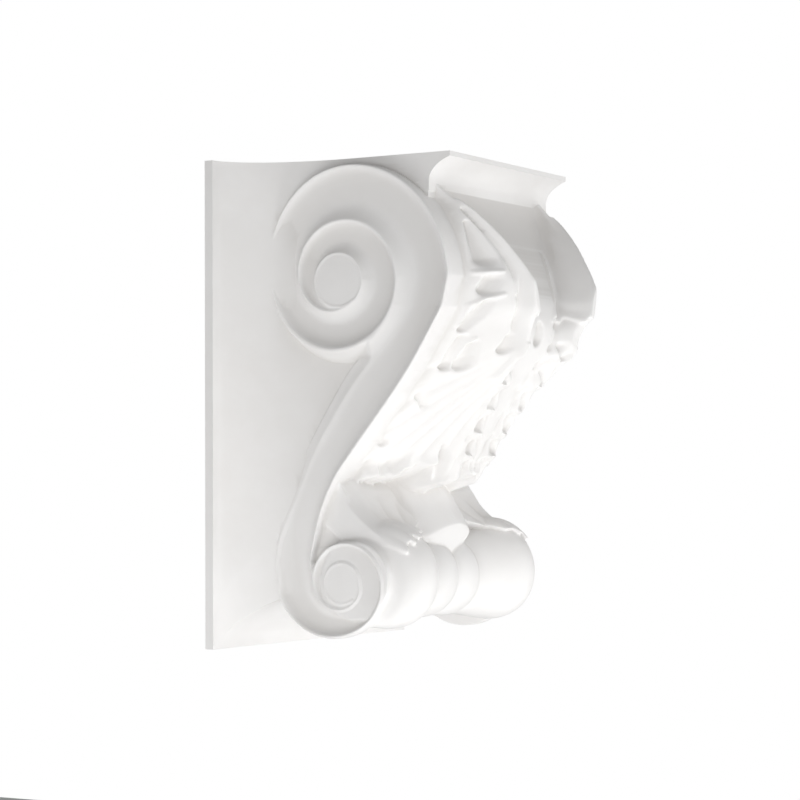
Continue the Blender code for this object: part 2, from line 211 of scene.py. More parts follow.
# %% [markdown]
# The body is the plain part: a thin backing plate that sweeps up into a block through a quarter
# circle hollow, the cove, on its left, right and lower sides. It is made from a plane that is
# extruded out of the wall in steps, each step narrower than the last, as a moulding is built up
# from its sections, and then every long face is cut at even heights and widths, because long thin
# facets show as streaks. Crisp edges matter here, so it never goes through a remesh.

# %% Backing plate and coved body
PLATE_WIDTH = 231.0
PLATE_THICKNESS = 5.8
BODY_WIDTH = 154.0
COVE_DEPTH = 75.0
UNDERSIDE_RISE = 38.0
TOP_DEPTH = 151.5
COVE_STEPS = 40
BODY_CUT_UP = 6.0
FIRST_CUT_ACROSS = -112.0
CUT_ACROSS = 8.0


def cove(depth):
    """How much of the cove's run is left behind at a depth: 0 at the plate, 1 at its front end."""
    share = np.clip((depth - PLATE_THICKNESS) / COVE_DEPTH, 0.0, 1.0)
    return np.sqrt(1.0 - (1.0 - share) ** 2)


def body_half_width(depth):
    return PLATE_WIDTH / 2 - (PLATE_WIDTH - BODY_WIDTH) / 2 * cove(depth)


def front_corners(piece, depth):
    """Places the four selected corners of the block's front at its new depth."""
    half = float(body_half_width(depth))
    low = UNDERSIDE_RISE * float(cove(depth))
    for vertex in piece.data.vertices:
        if vertex.select:
            side = 1.0 if vertex.co.x > 0 else -1.0
            vertex.co.x = side * half * MM
            vertex.co.y = -depth * MM
            if vertex.co.z < 0:
                vertex.co.z = (low - HEIGHT / 2) * MM


def cut_evenly(piece, step_up):
    """Cuts every face at even heights and widths, so that no long thin facet streaks the shading."""
    make_active(piece)
    bpy.ops.object.mode_set(mode="EDIT")
    levels = np.arange(step_up, HEIGHT, step_up)
    widths = np.arange(FIRST_CUT_ACROSS, PLATE_WIDTH / 2, CUT_ACROSS)
    cuts = [((0, 0, (level - HEIGHT / 2) * MM), (0, 0, 1)) for level in levels]
    cuts += [((x * MM, 0, 0), (1, 0, 0)) for x in widths]
    for place, normal in cuts:
        bpy.ops.mesh.select_all(action="SELECT")
        bpy.ops.mesh.bisect(plane_co=place, plane_no=normal)
    bpy.ops.mesh.select_all(action="SELECT")
    bpy.ops.mesh.normals_make_consistent(inside=False)
    bpy.ops.object.mode_set(mode="OBJECT")


def coved_body():
    deselect()
    bpy.ops.mesh.primitive_plane_add(size=1.0, rotation=(math.radians(90), 0, 0))
    piece = bpy.context.object
    piece.name = "coved_body"
    bpy.ops.object.transform_apply(location=True, rotation=True, scale=True)
    for vertex in piece.data.vertices:
        vertex.co.x *= PLATE_WIDTH * MM
        vertex.co.z *= HEIGHT * MM
    stops = [0.0, PLATE_THICKNESS]
    stops += [
        PLATE_THICKNESS + COVE_DEPTH * (1 - math.cos(math.pi / 2 * i / COVE_STEPS))
        for i in range(1, COVE_STEPS + 1)
    ]
    stops.append(TOP_DEPTH)
    for before, after in zip(stops, stops[1:]):
        bpy.ops.object.mode_set(mode="EDIT")
        bpy.ops.mesh.extrude_region_move(
            TRANSFORM_OT_translate={"value": (0, -(after - before) * MM, 0)})
        bpy.ops.object.mode_set(mode="OBJECT")
        front_corners(piece, after)
    cut_evenly(piece, BODY_CUT_UP)
    print("body:", len(piece.data.polygons), "faces")
    return piece


body = coved_body()

# %% [markdown]
# The front of the body follows the side scrolls: out from the roll, forward under the leaf and
# back again below the top block. One table of the front edge, height against depth, is used by
# the body, the scrolls and the leaf, so the three always meet. The body is cut to it with a
# Boolean, the way a band saw would cut the profile.

# %% The front edge that body, scrolls and leaf share
UPPER_EYE = (78.0, 225.0)
UPPER_TURN_RADII = (17.0, 18.7, 28.0, 36.5, 41.5, 42.5, 48.5, 69.5, 77.5)
LOWER_EYE = (80.0, 40.3)
LOWER_TURN_RADII = (13.0, 16.0, 20.5, 24.5, 28.5, 32.0, 47.6)
SCROLL_WAIST = (
    (116.5, 208.0, 151.0, 206.5),
    (108.5, 195.0, 141.5, 191.0),
    (97.0, 184.0, 129.0, 171.5),
    (86.0, 174.0, 115.0, 153.0),
    (75.0, 160.0, 101.1, 136.3),
    (61.0, 137.5, 88.0, 120.5),
    (47.0, 113.0, 76.0, 105.0),
    (38.5, 88.0, 66.3, 86.2),
    (34.0, 68.0, 60.8, 68.5),
    (32.4, 53.0, 57.5, 54.0),
)
TOP_COVE_DEPTH = 14.5
WIDEST = UPPER_EYE[0] + UPPER_TURN_RADII[-1]
FRONT_EDGE = [(row[3], row[2]) for row in reversed(SCROLL_WAIST)] + [
    (UPPER_EYE[1] - 4.0, WIDEST),
    (UPPER_EYE[1] + 8.0, WIDEST - 1.0),
    (250.0, 150.0),
    (268.0, 141.0),
    (283.0, TOP_DEPTH - TOP_COVE_DEPTH),
]


def front_edge(height):
    return follow(FRONT_EDGE, 1, height)


# %% [markdown]
# A straight moulding is a short run of flat strips: a profile drawn once and pulled across the
# width. The same helper makes the saw line that trims the body, and the moulded top block: a square
# fillet, then a hollow that goes in under it and ends upright at a short neck.

# %% Mouldings across the width
def moulding(name, profile, left, right):
    """A closed profile of (depth, height) corners pulled across from left to right."""
    deselect()
    bpy.ops.mesh.primitive_circle_add(vertices=len(profile), radius=0.1, fill_type="NGON")
    piece = bpy.context.object
    piece.name = name
    for vertex, (depth, height) in zip(piece.data.vertices, profile):
        vertex.co = Vector(to_metres(left, depth, height))
    bpy.ops.object.mode_set(mode="EDIT")
    bpy.ops.mesh.select_all(action="SELECT")
    bpy.ops.mesh.extrude_region_move(
        TRANSFORM_OT_translate={"value": ((right - left) * MM, 0, 0)})
    bpy.ops.mesh.select_all(action="SELECT")
    bpy.ops.mesh.quads_convert_to_tris(quad_method="BEAUTY", ngon_method="BEAUTY")
    bpy.ops.mesh.normals_make_consistent(inside=False)
    bpy.ops.object.mode_set(mode="OBJECT")
    return piece


def combine(piece, other, operation, solver="EXACT"):
    apply_modifier(piece, "BOOLEAN", object=other, operation=operation, solver=solver)
    bpy.data.objects.remove(other, do_unlink=True)


BODY_BACKSET = 3.0
SAW_PAST = 20.0
SAW_FOOT = ((84.5, -SAW_PAST), (82.5, 52.0))
SAW_HEIGHTS = np.arange(68.0, 276.0, 4.0)
SAW_NECK_DEPTH = 136.0
SAW_NECK_HEIGHT = 288.0

saw_line = [(-SAW_PAST, -SAW_PAST), *SAW_FOOT]
saw_line += [(float(front_edge(h)) - BODY_BACKSET, float(h)) for h in SAW_HEIGHTS]
saw_line += [(SAW_NECK_DEPTH, SAW_NECK_HEIGHT), (SAW_NECK_DEPTH, HEIGHT + SAW_PAST)]
saw_line += [(-SAW_PAST, HEIGHT + SAW_PAST)]
combine(body, moulding("saw_line", saw_line, -PLATE_WIDTH, PLATE_WIDTH), "INTERSECT")

TOP_FILLET = 3.0
TOP_COVE_HEIGHT = 14.0
TOP_COVE_START = 35.0
TOP_NECK = 6.0
TOP_ROOT = 25.0
TOP_STEPS = 24
TOP_CUT_UP = 3.0


def top_block():
    """Fillet, hollow and neck: the hollow is a piece of an ellipse that ends upright at the neck."""
    back = TOP_DEPTH - TOP_COVE_DEPTH
    base = HEIGHT - TOP_FILLET
    start = math.radians(TOP_COVE_START)
    deep = TOP_COVE_DEPTH / (1.0 - math.sin(start))
    tall = TOP_COVE_HEIGHT / math.cos(start)
    profile = [(back - TOP_ROOT, HEIGHT), (TOP_DEPTH, HEIGHT)]
    for i in range(TOP_STEPS + 1):
        turn = start + (math.pi / 2 - start) * i / TOP_STEPS
        depth = TOP_DEPTH - deep * (math.sin(turn) - math.sin(start))
        profile.append((depth, base - tall * (math.cos(start) - math.cos(turn))))
    foot = base - TOP_COVE_HEIGHT - TOP_NECK
    profile += [(back, foot), (back - TOP_ROOT, foot)]
    piece = moulding("top_block", profile, -BODY_WIDTH / 2, BODY_WIDTH / 2)
    cut_evenly(piece, TOP_CUT_UP)
    return piece


combine(body, top_block(), "UNION")
print("body and top block:", len(body.data.polygons), "faces")

# %% [markdown]
# The side scroll is a band that is rolled up at both ends: nearly two turns above, one and a third
# below, joined by a long S. Across the band the carver leaves a thin lip on the outer edge; the
# face falls quickly from the last turn's lip, climbs slowly, and ends in a steep side under its
# own lip. That steep side is the dark line that draws the spiral. The band is a grid: one way
# along the S, the other way across the section.

# %% Path of the scroll band
SCROLL_HALF = 87.0
SCROLL_ROOT = 32.0
LOWER_ROOT = 9.0
DISH_DEPTH = 5.4
UPPER_EYE_RADIUS = 17.0
LOWER_EYE_RADIUS = 13.0
EYE_LAP = 0.5
# Turns are in degrees round an eye; the waist's steps are in rows of its table
SCROLL_STEP = 2.0
WAIST_STEP = SCROLL_STEP / 18.0
SCROLL_START = 230.0
UPPER_END = 900.0
LOWER_END = 710.0
RADII_FROM = 180.0
ONE_TURN = 360.0
SKIRT_START = (575.0, 600.0)
SKIRT_END = (715.0, 690.0)


def around(centre, radius, degrees):
    """A point round a scroll's eye: 0 is towards the wall, 90 the top, 180 the front."""
    turn = np.radians(degrees)
    return np.stack([centre[0] - radius * np.cos(turn), centre[1] + radius * np.sin(turn)], axis=-1)


def turn_radius(radii, degrees):
    """A scroll's radius, from a table with one row each quarter turn."""
    return follow([(RADII_FROM + 90 * i, r) for i, r in enumerate(radii)], 1, degrees)


def inner_radius(radii, eye_radius, turns):
    """Where the band starts: on the eye in its first turn, and on the last turn after that."""
    past_eye = turn_radius(radii, turns - ONE_TURN)
    return np.where(turns < RADII_FROM + ONE_TURN, eye_radius - EYE_LAP, past_eye)


def scroll_path():
    """Back edge, front edge, soft back edge, side of the lip and skirt, from eye to eye."""
    turns = np.arange(SCROLL_START, UPPER_END + SCROLL_STEP, SCROLL_STEP)
    inner = inner_radius(UPPER_TURN_RADII, UPPER_EYE_RADIUS, turns)
    backs = [around(UPPER_EYE, inner, turns)]
    fronts = [around(UPPER_EYE, turn_radius(UPPER_TURN_RADII, turns), turns)]
    softs, sides = [0 * turns], [0 * turns + 1]
    skirts = [smooth(*SKIRT_START, turns) * smooth(*SKIRT_END, turns)]
    waist = [(i, *row) for i, row in enumerate(SCROLL_WAIST)]
    t = np.arange(0.0, len(SCROLL_WAIST) - 1 + 1e-6, WAIST_STEP)
    backs.append(np.stack([follow(waist, 1, t), follow(waist, 2, t)], axis=-1))
    fronts.append(np.stack([follow(waist, 3, t), follow(waist, 4, t)], axis=-1))
    softs.append(smooth(1.6, 2.6, t) * (0.62 + 0.38 * smooth(5.0, 6.5, t)))
    sides.append(1 - smooth(6.5, 9.0, t))
    skirts.append(0 * t)
    turns = np.arange(LOWER_END, SCROLL_START - SCROLL_STEP, -SCROLL_STEP)
    inner = inner_radius(LOWER_TURN_RADII, LOWER_EYE_RADIUS, turns)
    backs.append(around(LOWER_EYE, turn_radius(LOWER_TURN_RADII, turns), turns))
    fronts.append(around(LOWER_EYE, inner, turns))
    softs.append(smooth(600, 680, turns))
    sides.append(0 * turns)
    skirts.append(0 * turns)
    return [np.concatenate(rows) for rows in (backs, fronts, softs, sides, skirts)]


# %% Section of the scroll band
LIP_WIDTH = 0.8
SECTION_ROWS = 40
SKIRT_ROWS = 10
SKIRT_WIDTH = 10.0
SKIRT_DROP = 11.5
EDGE_OUT = 1.0
EDGE_DROP = 3.0
LOWER_ROOT_ABOVE_EYE = (30.0, 10.0)


def dish(share):
    """Depth of the band's hollow from 0 to 1: a quick fall from the inner lip, a longer climb out."""
    inner = 1.0 - np.abs(1.0 - share / 0.38) ** 2.2
    climb = np.clip((share - 0.38) / 0.62, 0.0, 1.0)
    outer = 1.0 - 0.4 * climb**1.6 - 0.6 * climb**6
    return np.where(share < 0.38, inner, outer)


def scroll_section(backs, fronts, softs, sides, skirts):
    """Every section across the band at once: x, depth and height arrays."""
    across = fronts - backs
    width = np.linalg.norm(across, axis=-1, keepdims=True)
    across = across / width
    flush = (SCROLL_HALF - body_half_width(backs[:, 0]))[:, None]
    soft, side, skirt = softs[:, None], sides[:, None], skirts[:, None]
    share = np.linspace(0.0, 1.0, SECTION_ROWS)[None, :]
    u = share * width
    lip = np.minimum(LIP_WIDTH, width * 0.1)
    hollow = DISH_DEPTH * np.minimum(1.0, width / 15.0)
    upper_share = np.clip(u / (width - lip), 0.0, 1.0)
    lower_share = np.clip((width - u) / (width - lip), 0.0, 1.0)
    crisp = -hollow * (dish(upper_share) * side + dish(lower_share) * (1 - side))
    back_drop = soft * flush * (1 - smooth(0.0, 0.5, share))
    eased = np.minimum(crisp, -back_drop * side - 0.35 * soft * hollow * side)
    level = np.where(share > 0.5, crisp, eased)
    start, end = (LOWER_EYE[1] + above for above in LOWER_ROOT_ABOVE_EYE)
    lower = smooth(start, end, backs[:, 1:])
    root = -SCROLL_ROOT + (SCROLL_ROOT - LOWER_ROOT) * lower
    out = np.linspace(0.0, 1.0, SKIRT_ROWS)[None, :]
    skirt_u = width + EDGE_OUT + skirt * SKIRT_WIDTH * out
    skirt_level = -EDGE_DROP * (1 - skirt) - skirt * SKIRT_DROP * (1 - (1 - out) ** 1.7)
    back_level = level[:, :1] - EDGE_DROP
    back_u = 0 * width - EDGE_OUT
    u = np.concatenate([back_u, back_u, u, skirt_u, skirt_u[:, -1:]], axis=1)
    level = np.concatenate([root, back_level, level, skirt_level, root], axis=1)
    depth = backs[:, :1] + across[:, :1] * u
    height = backs[:, 1:] + across[:, 1:] * u
    return SCROLL_HALF + level, depth, height


# %% [markdown]
# A grid only carries the outside of the band. Joining the last row of the section back to the
# first closes each section to a ring, and the two ends inside the eyes run to a point, so the
# band is a solid worm that can be fused with the rest.

# %% The scroll bands as solids
def closed_tube(name, x, depth, height):
    """A grid whose sections are rings: its long edges are merged and its ends run to a point."""
    x, depth, height = (np.concatenate([v, v[:, :1]], axis=1) for v in (x, depth, height))
    points = to_metres(x, depth, height)
    tips = [np.broadcast_to(points[end, :-1].mean(axis=0), points[:1].shape) for end in (0, -1)]
    piece = shaped_grid(name, np.concatenate([tips[0], points, tips[1]], axis=0))
    bpy.ops.mesh.remove_doubles(threshold=1e-7)
    bpy.ops.mesh.normals_make_consistent(inside=False)
    bpy.ops.object.mode_set(mode="OBJECT")
    print(name, "closed tube of", len(piece.data.polygons), "faces")
    return piece


def mirrored(piece):
    """A copy of a piece on the other side of the middle plane."""
    make_active(piece)
    bpy.ops.object.duplicate()
    copy = bpy.context.object
    points = np.empty(len(copy.data.vertices) * 3)
    copy.data.vertices.foreach_get("co", points)
    points = points.reshape(-1, 3)
    points[:, 0] *= -1
    copy.data.vertices.foreach_set("co", points.ravel())
    copy.data.flip_normals()
    return copy


band_x, band_depth, band_height = scroll_section(*scroll_path())
left_band = closed_tube("scroll_band", -band_x, band_depth, band_height)

# %% [markdown]
# The eye of each scroll is a low button. It starts as a cylinder that lies across the bracket. Its
# outer cap is inset three times, each inset a little further out than the last, so that light
# rolls over it and the button ends almost flush with the scroll's lip.

# %% Eyes of the scrolls
EYE_SUNK = 1.0
EYE_FIT = 1.03
# Each inset as a share of the eye's radius, and its rise in mm
EYE_INSETS = ((0.1, 0.3), (0.3, 0.2), (0.35, 0.1))


def eye(name, centre, radius, root):
    """A button round a centre of (depth, height), with its foot at root behind the scroll's face."""
    deselect()
    length = root - EYE_SUNK
    place = to_metres(-(SCROLL_HALF - EYE_SUNK - length / 2), centre[0], centre[1])
    bpy.ops.mesh.primitive_cylinder_add(
        vertices=64, radius=radius * EYE_FIT * MM, depth=length * MM,
        location=Vector(place), rotation=(0, math.radians(90), 0))
    piece = bpy.context.object
    piece.name = name
    bpy.ops.object.transform_apply(location=True, rotation=True, scale=True)
    bpy.ops.object.mode_set(mode="EDIT")
    bpy.ops.mesh.select_all(action="DESELECT")
    bpy.ops.object.mode_set(mode="OBJECT")
    outer = min(piece.data.polygons, key=lambda face: face.center.x)
    outer.select = True
    for inset, rise in EYE_INSETS:
        bpy.ops.object.mode_set(mode="EDIT")
        bpy.ops.mesh.inset(thickness=radius * inset * MM, depth=0)
        bpy.ops.transform.translate(value=(-rise * MM, 0, 0))
        bpy.ops.object.mode_set(mode="OBJECT")
    return piece


left_pieces = [left_band, eye("upper_eye", UPPER_EYE, UPPER_EYE_RADIUS, SCROLL_ROOT),
               eye("lower_eye", LOWER_EYE, LOWER_EYE_RADIUS, LOWER_ROOT)]
carved = left_pieces + [mirrored(piece) for piece in left_pieces]

# %% [markdown]
# The roll at the foot is a cushion shape turned about a line across the bracket: two fat pads,
# a pair of narrow bands in the middle, and a thin collar against each scroll. It is a tube of
# circular sections whose size and place follow one swelling curve.

# %% Roll at the foot
# Across the roll: distance from the middle and how far it is swollen there
ROLL_SWELL = (
    (0.0, 0.0), (3.0, 0.10), (9.0, 0.20), (14.0, 0.22), (20.0, 0.18), (25.0, 0.08), (27.5, 0.0),
    (30.5, 0.12), (36.0, 0.30), (43.0, 0.52), (50.0, 0.75), (57.0, 0.94), (63.0, 1.0),
    (70.0, 0.93), (75.0, 0.76), (79.0, 0.45), (81.0, 0.1), (83.0, 0.0), (90.0, 0.0),
)
ROLL_DEPTH = 88.5
ROLL_HEIGHT = 42.0
ROLL_RADIUS = 24.0
ROLL_PAD_FORWARD = 12.0
ROLL_PAD_RISE = 2.0
ROLL_PAD_SWELL = 7.5
ROLL_END_SUNK = 1.5
ROLL_SECTIONS = 340


def roll_section(x):
    """Depth and height of the roll's centre and its radius at a width."""
    swell = follow(ROLL_SWELL, 1, np.abs(x))
    return (ROLL_DEPTH + ROLL_PAD_FORWARD * swell, ROLL_HEIGHT + ROLL_PAD_RISE * swell,
            ROLL_RADIUS + ROLL_PAD_SWELL * swell)


def roll():
    half = SCROLL_HALF - ROLL_END_SUNK
    x = np.linspace(-half, half, ROLL_SECTIONS)[:, None]
    turns = np.radians(np.arange(0.0, 360.0, 2.0))[None, :]
    centre, middle, radius = roll_section(x)
    depth = centre + radius * np.cos(turns)
    height = middle + radius * np.sin(turns)
    return closed_tube("roll", np.broadcast_to(x, depth.shape), depth, height)


carved.append(roll())

# %% [markdown]
# The acanthus leaf hangs down the front. Its two crests stand each side of a deep channel, and
# from the crests the flanks fall to the scroll borders. The big form comes from a table up the
# leaf; the cuts and ridges are brush strokes laid over it, each a line with a width and a depth,
# in the places where the carver's gouge went. Low down, each crest is a row of small lobes that lap
# over one another, and petals fan out beside it. Mirroring x gives both halves at once.

# %% Brush strokes
def stroke(x, height, path, amount, steep=2.0):
    """One brush stroke along a path of (x, height, half width) points; amount is in mm."""
    weight = np.zeros_like(x)
    for (x0, h0, w0), (x1, h1, w1) in zip(path, path[1:]):
        run_x, run_h = x1 - x0, h1 - h0
        length = max(run_x**2 + run_h**2, 1e-6)
        t = np.clip(((x - x0) * run_x + (height - h0) * run_h) / length, 0.0, 1.0)
        distance = np.hypot(x - x0 - t * run_x, height - h0 - t * run_h)
        weight = np.maximum(weight, np.exp(-((distance / (w0 + (w1 - w0) * t)) ** steep)))
    return amount * weight


# %% Big form of the leaf
# From the foot up: height, depth in the channel, depth and place of the crest, width of the wall
LEAF_LINE = (
    (88.0, 108.0, 104.0, 14.0, 14.0),
    (99.0, 116.0, 112.0, 14.0, 14.0),
    (104.0, 122.0, 120.0, 15.0, 14.0),
    (112.0, 126.0, 126.0, 16.0, 14.0),
    (120.0, 129.0, 130.0, 17.0, 14.0),
    (135.0, 136.0, 139.0, 18.0, 14.0),
    (150.0, 145.0, 150.0, 20.0, 14.0),
    (165.0, 155.0, 163.0, 23.0, 13.0),
    (175.0, 163.0, 171.5, 27.0, 12.0),
    (185.0, 169.0, 179.5, 29.0, 11.0),
    (196.0, 172.0, 184.0, 31.0, 10.0),
    (207.0, 171.0, 189.5, 36.0, 9.0),
    (214.0, 169.5, 190.0, 38.0, 9.0),
    (223.0, 166.0, 187.5, 42.0, 9.0),
    (238.0, 159.5, 179.0, 48.0, 9.0),
    (252.0, 151.5, 168.5, 53.5, 9.0),
    (266.0, 143.5, 155.0, 60.5, 9.0),
    (276.0, 138.5, 143.0, 66.0, 9.0),
    (286.0, 133.0, 133.0, 70.0, 9.0),
)
LEAF_HALF_WIDTH = 71.0
LEAF_FOOT_LINE = (
    (0.0, 107.0), (5.0, 106.5), (8.5, 109.0), (10.0, 106.0), (14.0, 101.5), (19.0, 100.5),
    (24.0, 102.0), (27.0, 106.0), (29.5, 113.0), (32.0, 113.5), (36.0, 112.0), (40.0, 112.5),
    (42.5, 114.0), (45.0, 110.5), (47.5, 110.5), (49.5, 106.5), (52.0, 104.8), (54.0, 106.3),
    (56.5, 104.6), (59.0, 106.0), (61.5, 104.2), (64.0, 104.5), (67.0, 101.0), (71.0, 98.0),
)
UNDERSIDE_SLOPE = 2.6
BORDER_BACK = 1.0
TOP_BACK = 6.0
TOP_BACK_HEIGHTS = (262.0, 276.0)


def leaf_form(x, height):
    """The leaf without its fine carving: channel, crests and flanks."""
    border = front_edge(height) - BORDER_BACK - TOP_BACK * smooth(*TOP_BACK_HEIGHTS, height)
    middle, crest, rib, wall = (follow(LEAF_LINE, column, height) for column in (1, 2, 3, 4))
    channel = middle + (crest - middle) * smooth(rib - wall, rib - 0.5, x)
    share = np.clip((x - rib) / (LEAF_HALF_WIDTH - rib), 0.0, 1.0)
    flank = border + (crest - border) * (1.0 - share**1.2)
    return np.where(x < rib, channel, flank)


# %% Fine carving of the leaf
# Each stroke: its path, its amount in mm and how steep its sides are
RIB_AND_GAP = (
    ([(62.0, 272.0, 1.2), (57.5, 262.0, 1.6), (52.5, 250.0, 2.2), (47.5, 238.0, 2.6),
      (43.5, 228.0, 2.8), (40.5, 218.0, 3.0), (38.5, 207.0, 3.0), (35.0, 196.0, 2.8),
      (32.5, 186.0, 2.6), (31.0, 176.0, 2.4), (33.0, 166.0, 1.8)], 3.0, 4.0),
    ([(62.0, 266.0, 1.0), (57.0, 254.0, 1.6), (51.5, 240.0, 2.2), (47.5, 226.0, 2.4),
      (45.5, 214.0, 2.2), (42.5, 202.0, 1.6), (39.5, 192.0, 1.0)], -4.5, 2.0),
    ([(56.5, 252.0, 0.8), (50.5, 238.0, 0.9), (47.0, 226.0, 0.9), (47.0, 215.0, 0.8)], 2.0, 2.0),
)
CUTS = (
    ([(63.0, 258.0, 1.0), (61.5, 247.0, 3.2), (59.8, 236.0, 4.8)], -6.5, 2.6),
    ([(58.5, 222.5, 3.4), (60.0, 217.5, 3.6)], -6.0, 3.0),
    ([(58.8, 209.0, 2.0), (60.5, 202.0, 3.0), (62.5, 194.0, 1.8)], -5.5, 3.0),
    ([(60.5, 188.0, 2.2), (60.0, 179.0, 3.2), (59.5, 172.0, 2.6)], -6.0, 4.0),
    ([(54.5, 184.0, 2.6), (53.0, 173.5, 4.2)], -6.0, 4.0),
    ([(39.8, 189.0, 2.2), (39.2, 183.0, 3.4)], -7.5, 3.0),
    ([(63.0, 155.0, 1.2), (57.0, 149.0, 2.0)], -4.0, 3.0),
    ([(69.0, 129.5, 1.6), (64.0, 126.5, 2.6)], -5.0, 3.0),
    ([(0.0, 196.0, 4.2), (0.0, 191.0, 5.0)], -4.5, 4.0),
    ([(14.0, 174.0, 1.6), (14.6, 176.5, 1.4)], -3.0, 3.0),
    ([(18.0, 185.0, 1.6), (18.6, 187.5, 1.4)], -3.0, 3.0),
    ([(20.0, 198.0, 1.2), (24.0, 206.0, 1.6), (27.5, 216.0, 1.6), (31.0, 230.0, 1.4)], -2.6, 2.0),
    ([(33.0, 124.0, 1.0), (29.0, 115.0, 2.6), (25.5, 104.0, 3.6)], -8.0, 3.0),
    ([(9.5, 118.0, 0.8), (9.0, 104.0, 1.8)], -5.0, 3.0),
)
RIDGES = (
    ([(55.0, 228.0, 1.2), (66.0, 227.0, 1.4)], 1.6, 3.0),
    ([(54.0, 214.0, 1.4), (60.0, 211.8, 1.3), (66.0, 207.0, 1.3), (66.0, 196.0, 1.0)], 1.8, 3.0),
    ([(56.3, 188.0, 0.9), (56.6, 172.0, 0.9)], 2.0, 2.0),
    ([(17.0, 188.0, 1.0), (21.0, 202.0, 1.1), (25.0, 212.0, 1.1), (29.0, 230.0, 1.0),
      (34.0, 246.0, 0.8)], 2.0, 2.0),
)
POCKETS = ((28.5, 181.0), (25.0, 165.0), (22.0, 150.0), (19.5, 136.0), (17.5, 122.0))


def leaf_strokes(x, height):
    """All cuts and ridges of the leaf's face, in mm."""
    change = np.zeros_like(x)
    for path, amount, steep in RIB_AND_GAP + CUTS + RIDGES:
        change += stroke(x, height, path, amount, steep)
    for place_x, place_h in POCKETS:
        hollow = [(place_x - 3.5, place_h + 5.0, 2.6), (place_x - 1.5, place_h, 3.4)]
        rim = [(place_x - 5.0, place_h - 4.5, 1.0), (place_x + 2.0, place_h - 4.0, 1.3),
               (place_x + 4.0, place_h + 4.0, 1.0)]
        change += stroke(x, height, hollow, -4.2, 3.0)
        change += stroke(x, height, rim, 2.0, 2.0)
    return change


# %% Lobes, veins and foot of the leaf
LOBE_EDGES = (203.0, 179.0, 161.0, 145.0, 130.0, 116.0)
LOBE_RISE = 4.2


def leaf_lobes(x, height):
    """The crest's overlapping lobes: each swells towards its lower edge and then steps back."""
    rib = follow(LEAF_LINE, 3, height)
    across = np.exp(-(((x - rib + 5.0) / 8.5) ** 2))
    rise = np.zeros_like(x)
    for edge in LOBE_EDGES:
        above = height - edge - 1.6 * np.cos(x * 0.9)
        rise = rise + np.exp(-((np.maximum(above, 0.0) / 8.0) ** 2)) * smooth(-1.2, 0.6, above)
    return LOBE_RISE * across * (rise - 0.55) * smooth(216.0, 206.0, height)


VEIN_HUB = (22.0, 192.0)
VEIN_TIPS = ((69.0, 168.0), (70.0, 146.0), (69.0, 128.0), (62.0, 117.0), (52.0, 118.0),
             (43.0, 113.0), (31.0, 112.0), (21.0, 101.0), (10.0, 106.0), (2.0, 107.0))
PETAL_SWELL = 2.6


def leaf_veins(x, height):
    """The petals of the lower leaf: rounded between crisp veins that fan out from the crests."""
    angles = np.degrees(np.arctan2(VEIN_HUB[1] - height, x - VEIN_HUB[0]))
    tips = [math.degrees(math.atan2(VEIN_HUB[1] - h, tip_x - VEIN_HUB[0])) for tip_x, h in VEIN_TIPS]
    reach = np.hypot(x - VEIN_HUB[0], height - VEIN_HUB[1])
    swell = np.zeros_like(x)
    for start, end in zip(tips, tips[1:]):
        share = np.clip((angles - start) / (end - start), 0.0, 1.0)
        swell = np.maximum(swell, np.sin(np.pi * share) ** 0.6)
    inside = smooth(tips[0] - 4, tips[0], angles) * smooth(tips[-1] + 4, tips[-1], angles)
    strength = smooth(12.0, 60.0, reach) * inside
    return PETAL_SWELL * strength * (swell - 1.0)


def leaf_foot(x, height, surface):
    """Turns the foot outward to a ragged rim, with the underside going back from it."""
    foot = follow(LEAF_FOOT_LINE, 1, x)
    above = height - foot
    beside = smooth(46.0, 50.0, x) * smooth(70.0, 66.0, x)
    trough = -4.0 * np.exp(-(((above - 8.0) / 4.2) ** 2)) * beside
    flare = 3.2 * np.exp(-((np.maximum(above, 0.0) / 3.6) ** 1.6))
    rim = surface + trough + flare
    return np.where(above < 0, rim + UNDERSIDE_SLOPE * above, rim)


CARVING_GRID = 0.5
CARVING_BORDER = 4.0
LEAF_BOTTOM = 88.0
LEAF_TOP = 286.0
LEAF_THICKNESS = 14.0
LEAF_LEAST_DEPTH = 70.0


def carving_grid(half, bottom, top):
    """Every x and height on a sheet, at the spacing of the carving."""
    x = np.arange(-half, half + 0.01, CARVING_GRID)[None, :]
    height = np.arange(bottom, top + 0.01, CARVING_GRID)[:, None]
    return np.broadcast_arrays(x, height)


def leaf():
    x, height = carving_grid(LEAF_HALF_WIDTH, LEAF_BOTTOM, LEAF_TOP)
    across = np.abs(x)
    carved_share = smooth(LEAF_HALF_WIDTH, LEAF_HALF_WIDTH - CARVING_BORDER, across)
    depth = leaf_form(across, height)
    fine = leaf_strokes(across, height) + leaf_veins(across, height) + leaf_lobes(across, height)
    depth = depth + fine * carved_share
    depth = leaf_foot(across, height, depth)
    depth = np.clip(depth, LEAF_LEAST_DEPTH, DEEPEST)
    return carved_sheet("leaf", x, depth, height, LEAF_THICKNESS)


carved.append(leaf())

# %% [markdown]
# A small calyx binds the leaf's foot to the roll. In the middle a broad tongue bends over with a
# crisp fold: its upper side looks up and stays grey, its underside catches the light from below.
# Beside it, a thin fluted cover runs down over the shoulders of the pads and ends in small tips.
# A plain core behind the sheet fills the space between it and the body.

# %% Calyx between the leaf and the roll
# Height and half width of the tongue
TONGUE_HALF = (
    (46.0, 0.5), (50.0, 5.0), (54.0, 12.0), (58.0, 18.0), (62.0, 24.0), (66.0, 30.0),
    (70.0, 33.0), (76.0, 34.0), (84.0, 33.5), (92.0, 33.0), (112.0, 32.0),
)
TONGUE_CREST = 113.0
TONGUE_FOLD = 75.5
TONGUE_DROOP = 9.0
